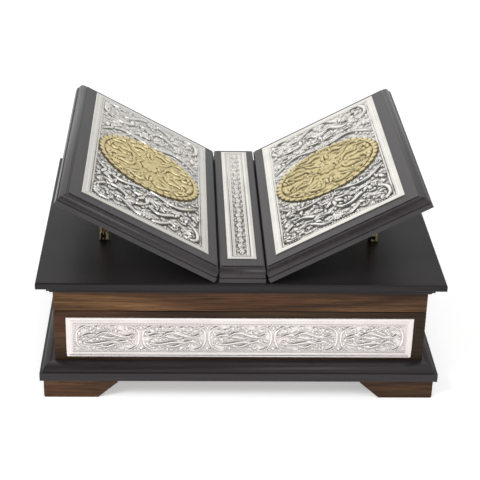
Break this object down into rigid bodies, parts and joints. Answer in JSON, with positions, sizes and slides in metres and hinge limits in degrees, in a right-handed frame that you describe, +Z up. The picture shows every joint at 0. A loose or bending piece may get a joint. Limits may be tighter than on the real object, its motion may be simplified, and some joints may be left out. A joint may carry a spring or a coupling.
{
  "type": "quran stand",
  "caption": "Wooden book box on bracket feet with a hinged lid that carries a folding V-shaped book rest; embossed silver-coloured plates and gilt medallions.",
  "frame": {"origin": "centre of the footprint on the floor, with the lid closed and both leaves raised", "axes": "+X to the reader's right, +Y from front to back, +Z up; the reader sits on the -Y side"},
  "size_m": [0.34, 0.26, 0.1898],
  "materials": {
    "dark_wood": "satin black-brown lacquer",
    "walnut": "satin walnut",
    "silver": "embossed silver plating with dark recesses",
    "gilt": "satin gilt",
    "brass": "polished",
    "black_metal": "blackened, satin",
    "velvet": "short pile"
  },
  "bodies": {
    "box": {"front_wall": "walnut", "right_wall": "walnut", "back_wall": "walnut", "left_wall": "walnut", "box_floor": "walnut", "box_lining": "velvet", "front_base_moulding": "dark_wood", "right_base_moulding": "dark_wood", "back_base_moulding": "dark_wood", "left_base_moulding": "dark_wood", "front_left_foot": "walnut", "front_right_foot": "walnut", "back_left_foot": "walnut", "back_right_foot": "walnut", "front_silver_plate": "silver", "left_silver_plate": "silver", "right_silver_plate": "silver", "left_lid_hinge_box_flap": "brass", "right_lid_hinge_box_flap": "brass", "lid_hinge_pins": "brass", "box_hinge_screws": "brass"},
    "lid": {"lid_board": "dark_wood", "lid_lining": "velvet", "front_lid_moulding": "dark_wood", "right_lid_moulding": "dark_wood", "back_lid_moulding": "dark_wood", "left_lid_moulding": "dark_wood", "front_skirt": "walnut", "right_skirt": "walnut", "back_skirt": "walnut", "left_skirt": "walnut", "spine": "dark_wood", "spine_silver_plate": "silver", "left_lid_hinge_lid_flap": "brass", "right_lid_hinge_lid_flap": "brass", "lid_hinge_screws": "brass", "left_leaf_hinge_lid_flaps": "brass", "right_leaf_hinge_lid_flaps": "brass", "leaf_hinge_pins": "brass", "left_prop_brackets": "black_metal", "right_prop_brackets": "black_metal", "prop_pins": "black_metal", "lid_top_screws": "black_metal"},
    "left_leaf": {"left_leaf": "dark_wood", "left_leaf_silver_plate": "silver", "left_medallion": "gilt", "left_leaf_hinge_flaps": "brass", "left_leaf_screws": "brass"},
    "right_leaf": {"right_leaf": "dark_wood", "right_leaf_silver_plate": "silver", "right_medallion": "gilt", "right_leaf_hinge_flaps": "brass", "right_leaf_screws": "brass"},
    "left_prop": {"left_prop": "brass"},
    "right_prop": {"right_prop": "brass"}
  },
  "joints": [
    {"name": "lid_hinge", "type": "hinge", "parent": "box", "child": "lid", "pos_m": [0, 0.1197, 0.079], "axis": [-1, 0, 0], "range_deg": [0, 95]},
    {"name": "left_leaf_hinge", "type": "hinge", "parent": "lid", "child": "left_leaf", "pos_m": [-0.02322, 0, 0.1129], "axis": [0, 1, 0], "range_deg": [-28.5, 0]},
    {"name": "right_leaf_hinge", "type": "hinge", "parent": "lid", "child": "right_leaf", "pos_m": [0.02322, 0, 0.1129], "axis": [0, -1, 0], "range_deg": [-28.5, 0]},
    {"name": "left_prop_hinge", "type": "hinge", "parent": "lid", "child": "left_prop", "pos_m": [-0.1174, 0, 0.1164], "axis": [0, 1, 0], "range_deg": [-90, 0]},
    {"name": "right_prop_hinge", "type": "hinge", "parent": "lid", "child": "right_prop", "pos_m": [0.1174, 0, 0.1164], "axis": [0, -1, 0], "range_deg": [-90, 0]}
  ],
  "couplings": [
    {"joint": "left_prop_hinge", "follows": "left_leaf_hinge", "ratio": 3.157},
    {"joint": "right_prop_hinge", "follows": "right_leaf_hinge", "ratio": 3.157}
  ]
}
